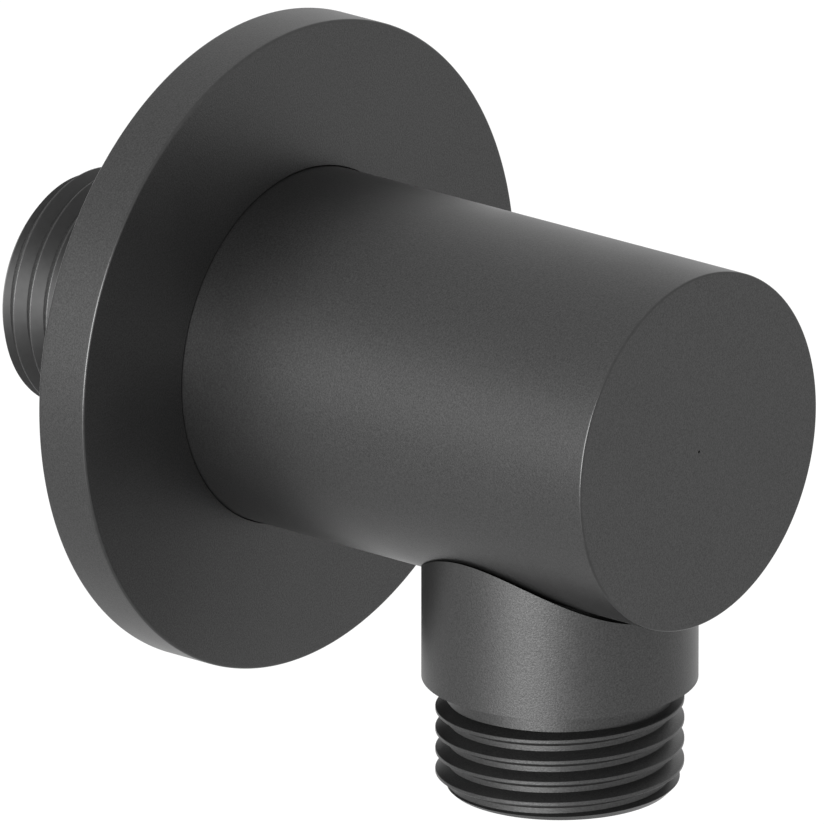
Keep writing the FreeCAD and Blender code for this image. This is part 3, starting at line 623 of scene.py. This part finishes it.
guide_hole = stock("guide_hole", turned_blank((
    (0, GUIDE_TOP + PAST),
    (GUIDE_HOLE_RADIUS, GUIDE_TOP + PAST),
    (GUIDE_HOLE_RADIUS, GUIDE_END - PAST),
    (0, GUIDE_END - PAST),
), steps=32))
machine(housing, guide_hole, "DIFFERENCE")
finish_piece(housing, acetal, place=OUTLET_PLACE)
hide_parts("valve_housing")
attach(housing, "elbow")

# The poppet is the valve's moving part, also acetal: a cone that points up into the stream, a
# lip and neck for the washer, the head, and a long stem that slides in the guide.
WASHER_TOP = -18.85
HEAD_TOP = -19.6
HEAD_END = -21.0
HEAD_RADIUS = 5.4
LIP_RADIUS = 3.85
LIP_TOP = -18.4
LIP_END = -18.8
NOSE_RADIUS = 1.5
NOSE_TOP = -17.5
WASHER_NECK_RADIUS = 3.55
STEM_RADIUS = 1.0
STEM_END = -28.9

poppet = stock("valve_poppet_moulded", rounded_blank((
    (0, NOSE_TOP),
    (NOSE_RADIUS, NOSE_TOP),
    (LIP_RADIUS, LIP_TOP),
    (LIP_RADIUS, LIP_END),
    (WASHER_NECK_RADIUS, LIP_END),
    (WASHER_NECK_RADIUS, HEAD_TOP),
    (HEAD_RADIUS, HEAD_TOP),
    (HEAD_RADIUS, HEAD_END),
    (STEM_RADIUS, HEAD_END),
    (STEM_RADIUS, STEM_END),
    (0, STEM_END),
), [
    (NOSE_RADIUS, NOSE_TOP),
    (LIP_RADIUS, LIP_TOP),
    (HEAD_RADIUS, HEAD_TOP),
    (HEAD_RADIUS, HEAD_END),
    (STEM_RADIUS, STEM_END),
], MOULDED_ROUND, steps=96))
finish_piece(poppet, acetal, place=OUTLET_PLACE)
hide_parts("valve_poppet")
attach(poppet, "poppet")

# A flat washer of black rubber is stretched over the poppet's lip, and lies on its head. It closes
# on the seat, and its outer edges are slightly rounded.
WASHER_INNER_RADIUS = 3.6
WASHER_OUTER_RADIUS = 5.2
WASHER_ROUND = 0.08

washer = stock("poppet_seal_cut", rounded_blank((
    (WASHER_INNER_RADIUS, WASHER_TOP),
    (WASHER_OUTER_RADIUS, WASHER_TOP),
    (WASHER_OUTER_RADIUS, HEAD_TOP),
    (WASHER_INNER_RADIUS, HEAD_TOP),
), [(WASHER_OUTER_RADIUS, WASHER_TOP), (WASHER_OUTER_RADIUS, HEAD_TOP)], WASHER_ROUND, steps=96))
finish_piece(washer, rubber, place=OUTLET_PLACE)
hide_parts("poppet_seal")
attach(washer, "poppet")

# A spring of drawn stainless wire round the stem pushes the poppet up and shuts the valve. It
# stands on the hub, and shortens as the poppet comes down.
WIRE_RADIUS = 0.225
COIL_RADIUS = 1.75
COIL_TURNS = 5
COIL_STEPS = 48


def drawn_wire():
    """Bright stainless wire with the fine streaks that drawing leaves along it."""
    finish, shader, place = new_finish("drawn_wire")
    shader.inputs["Metallic"].default_value = 1.0
    streak = noise(place, scale=2500, detail=3)
    set_colour(shader, tone(streak, (0.42, 0.42, 0.43), (0.60, 0.60, 0.61)))
    set_sheen(shader, streak, smooth=0.2, rough=0.38)
    set_relief(shader, streak, strength=0.2, depth=0.000005)
    return finish


wire_start = GUIDE_TOP + WIRE_RADIUS + RING_RELIEF
wire_rise = HEAD_END - RING_RELIEF - WIRE_RADIUS - wire_start
coil = bmesh.new()
bmesh.ops.create_circle(coil, cap_ends=True, radius=WIRE_RADIUS, segments=16, matrix=(
    Matrix.Translation((COIL_RADIUS, 0, wire_start)) @ Matrix.Rotation(math.radians(90), 4, "X")
))
bmesh.ops.spin(
    coil, geom=coil.verts[:] + coil.edges[:] + coil.faces[:], cent=(0, 0, 0), axis=(0, 0, 1),
    dvec=(0, 0, wire_rise / COIL_TURNS / COIL_STEPS), angle=math.tau * COIL_TURNS,
    steps=COIL_TURNS * COIL_STEPS,
)
bmesh.ops.recalc_face_normals(coil, faces=coil.faces)
spring = stock("valve_spring_coiled", coil)
finish_piece(spring, drawn_wire(), place=OUTLET_PLACE, sharp_from=60)
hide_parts("valve_spring")
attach(spring, "elbow")
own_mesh(spring)

# The cover disc is turned from brass with a hollow back and coated like the body. Its outer
# edges are lightly rounded, and the groove in its bore holds the ring that grips the body.
DISC_RADIUS = 27.65
DISC_FRONT = -4.95
DISC_BORE_RADIUS = 15.25
DISC_BORE_CHAMFER = 0.03
DISC_HUB_RADIUS = 18.675
DISC_RIM_INNER_RADIUS = 25.65
DISC_HOLLOW_FLOOR = -3.15
DISC_EDGE_ROUND = 0.2
GRIP_GROOVE_RADIUS = 16.705
GRIP_GROOVE_MIDDLE = -2.475
GRIP_GROOVE_HALF_WIDTH = 0.85

rosette = stock("rosette_turned", rounded_blank((
    (DISC_BORE_RADIUS + DISC_BORE_CHAMFER, DISC_FRONT),
    (DISC_RADIUS, DISC_FRONT),
    (DISC_RADIUS, 0),
    (DISC_RIM_INNER_RADIUS, 0),
    (DISC_RIM_INNER_RADIUS, DISC_HOLLOW_FLOOR),
    (DISC_HUB_RADIUS, DISC_HOLLOW_FLOOR),
    (DISC_HUB_RADIUS, 0),
    (DISC_BORE_RADIUS, 0),
    (DISC_BORE_RADIUS, GRIP_GROOVE_MIDDLE + GRIP_GROOVE_HALF_WIDTH),
    (GRIP_GROOVE_RADIUS, GRIP_GROOVE_MIDDLE + GRIP_GROOVE_HALF_WIDTH),
    (GRIP_GROOVE_RADIUS, GRIP_GROOVE_MIDDLE - GRIP_GROOVE_HALF_WIDTH),
    (DISC_BORE_RADIUS, GRIP_GROOVE_MIDDLE - GRIP_GROOVE_HALF_WIDTH),
    (DISC_BORE_RADIUS, DISC_FRONT + DISC_BORE_CHAMFER),
), [(DISC_RADIUS, DISC_FRONT), (DISC_RADIUS, 0)], DISC_EDGE_ROUND, steps=288))
finish_piece(rosette, graphite, lay=ALONG_Y)
finish_faces(rosette, edge_finish, lambda middle, normal: (
    math.hypot(middle.x, middle.z) > DISC_RADIUS - DISC_EDGE_ROUND
    and not DISC_FRONT + DISC_EDGE_ROUND < middle.y < -DISC_EDGE_ROUND
))
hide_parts("rosette")
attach(rosette, "cover")

# A black rubber ring in the disc's groove, thicker than the other two, grips the barrel. Its
# friction keeps the disc where it is pushed.
GRIP_RING_CORD = 1.5
GRIP_RING_MIDDLE_RADIUS = 15.921

grip_ring = stock("rosette_grip_ring_moulded", turned_blank(ring_outline(
    GRIP_RING_MIDDLE_RADIUS, GRIP_GROOVE_MIDDLE, GRIP_RING_CORD,
)))
finish_piece(grip_ring, rubber, lay=ALONG_Y)
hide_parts("rosette_grip_ring")
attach(grip_ring, "grip_ring")

# A soft ring cut from closed-cell foam sheet is stuck into the disc's hollow back, and meets the
# wall. Its cut sides show the cells and pull in a little, and its face has the sheet's skin.
WALL_SEAL_INNER_RADIUS = 22.25
WALL_SEAL_OUTER_RADIUS = 25.25
WALL_SEAL_WAIST = 0.06
WALL_SEAL_EDGE = 0.25
WALL_SEAL_EDGE_PULL = 0.02


def grey_foam():
    """Dark closed-cell foam rubber: small cells all over, uneven in tone, with no shine."""
    finish, shader, place = new_finish("grey_foam")
    shader.inputs["Roughness"].default_value = 0.92
    shader.inputs["Specular IOR Level"].default_value = 0.2
    nodes, links = finish.node_tree.nodes, finish.node_tree.links
    cells = nodes.new("ShaderNodeTexVoronoi")
    cells.inputs["Scale"].default_value = 2600
    links.new(place, cells.inputs["Vector"])
    cell = cells.outputs["Distance"]
    mottle = nodes.new("ShaderNodeMix")
    mottle.data_type = "RGBA"
    mottle.blend_type = "MULTIPLY"
    mottle.inputs["Factor"].default_value = 0.5
    cell_tone = tone(cell, (0.045, 0.045, 0.048), (0.145, 0.145, 0.155), start=0.1, end=0.7)
    links.new(cell_tone, mottle.inputs["A"])
    links.new(noise(place, scale=260, detail=4), mottle.inputs["B"])
    set_colour(shader, mottle.outputs["Result"])
    set_relief(shader, cell, strength=0.8, depth=0.00012)
    return finish


foam_middle = (WALL_SEAL_INNER_RADIUS + WALL_SEAL_OUTER_RADIUS) / 2
foam_half = (WALL_SEAL_OUTER_RADIUS - WALL_SEAL_INNER_RADIUS) / 2
foam_section = []
for across in (1, -1):
    side = foam_middle + across * foam_half
    corners = [
        (side - across * WALL_SEAL_EDGE, 0),
        (side - across * WALL_SEAL_EDGE_PULL, -WALL_SEAL_EDGE),
        (side - across * WALL_SEAL_WAIST, DISC_HOLLOW_FLOOR / 2),
        (side, DISC_HOLLOW_FLOOR),
    ]
    foam_section += corners if across > 0 else corners[::-1]
wall_seal = stock("wall_seal_foam", turned_blank(foam_section))
finish_piece(wall_seal, grey_foam(), lay=ALONG_Y, sharp_from=40)
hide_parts("wall_seal")
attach(wall_seal, "cover")

# The photo's camera stands to the left, above and far off, and looks down at the elbow. Its long
# lens lets the barrel's edges run almost parallel.
CAMERA_AZIMUTH = -49.595
CAMERA_ELEVATION = 18.553
CAMERA_DISTANCE = 2.51517
CAMERA_TARGET = Vector((0.006809, -0.011256, -0.006289))
CAMERA_SENSOR = 36
CAMERA_LENS = 1318.6
CAMERA_CLIP_START = 0.1
CAMERA_CLIP_END = 100


def outwards(azimuth, elevation):
    """The way from the elbow to an azimuth and an elevation, which are in degrees."""
    turn, rise = math.radians(azimuth), math.radians(elevation)
    return Vector((
        math.sin(turn) * math.cos(rise), -math.cos(turn) * math.cos(rise), math.sin(rise),
    ))


towards_camera = outwards(CAMERA_AZIMUTH, CAMERA_ELEVATION)
camera_data = bpy.data.cameras.new("camera")
camera_data.sensor_width = CAMERA_SENSOR
camera_data.lens = CAMERA_LENS
camera_data.clip_start = CAMERA_CLIP_START
camera_data.clip_end = CAMERA_CLIP_END
camera = bpy.data.objects.new("camera", camera_data)
camera.location = CAMERA_TARGET + towards_camera * CAMERA_DISTANCE
camera.rotation_mode = "QUATERNION"
camera.rotation_quaternion = (-towards_camera).to_track_quat("-Z", "Y")
bpy.context.scene.collection.objects.link(camera)
bpy.context.scene.camera = camera

# The studio: a pale floor well below the elbow, white surroundings, a large softbox on the left,
# and two weak ones behind it and below.
FLOOR_HEIGHT = -4.2
FLOOR_SIZE = 60
FLOOR_COLOUR = (0.97, 0.97, 0.97, 1)
FLOOR_ROUGHNESS = 0.9
SURROUNDINGS_COLOUR = (1, 1, 1, 1)
SURROUNDINGS_STRENGTH = 1.1
SOFTBOX_DISTANCE = 1.0

floor_mesh = bmesh.new()
bmesh.ops.create_grid(floor_mesh, x_segments=1, y_segments=1, size=FLOOR_SIZE / 2)
bmesh.ops.translate(floor_mesh, verts=floor_mesh.verts, vec=(0, 0, FLOOR_HEIGHT))
floor = stock("floor", floor_mesh)
floor_paint = bpy.data.materials.new("floor_paint")
floor_paint.use_nodes = True
floor_shader = floor_paint.node_tree.nodes["Principled BSDF"]
floor_shader.inputs["Base Color"].default_value = FLOOR_COLOUR
floor_shader.inputs["Roughness"].default_value = FLOOR_ROUGHNESS
floor.data.materials.append(floor_paint)

surroundings = bpy.data.worlds.new("surroundings")
surroundings.use_nodes = True
background = surroundings.node_tree.nodes["Background"]
background.inputs["Color"].default_value = SURROUNDINGS_COLOUR
background.inputs["Strength"].default_value = SURROUNDINGS_STRENGTH
bpy.context.scene.world = surroundings
bpy.context.scene.view_settings.view_transform = "Standard"


def soft_light(name, azimuth, elevation, size, power):
    """A square softbox that looks at the elbow from an azimuth and an elevation in degrees."""
    data = bpy.data.lights.new(name, "AREA")
    data.energy = power
    data.size = size
    light = bpy.data.objects.new(name, data)
    away = outwards(azimuth, elevation)
    light.location = CAMERA_TARGET + away * SOFTBOX_DISTANCE
    light.rotation_mode = "QUATERNION"
    light.rotation_quaternion = away.to_track_quat("Z", "Y")
    bpy.context.scene.collection.objects.link(light)


soft_light("left_softbox", azimuth=-73, elevation=8, size=0.7, power=19)
soft_light("back_left_softbox", azimuth=-125, elevation=10, size=0.6, power=1.1)
soft_light("low_left_softbox", azimuth=-95, elevation=-30, size=0.5, power=1.0)
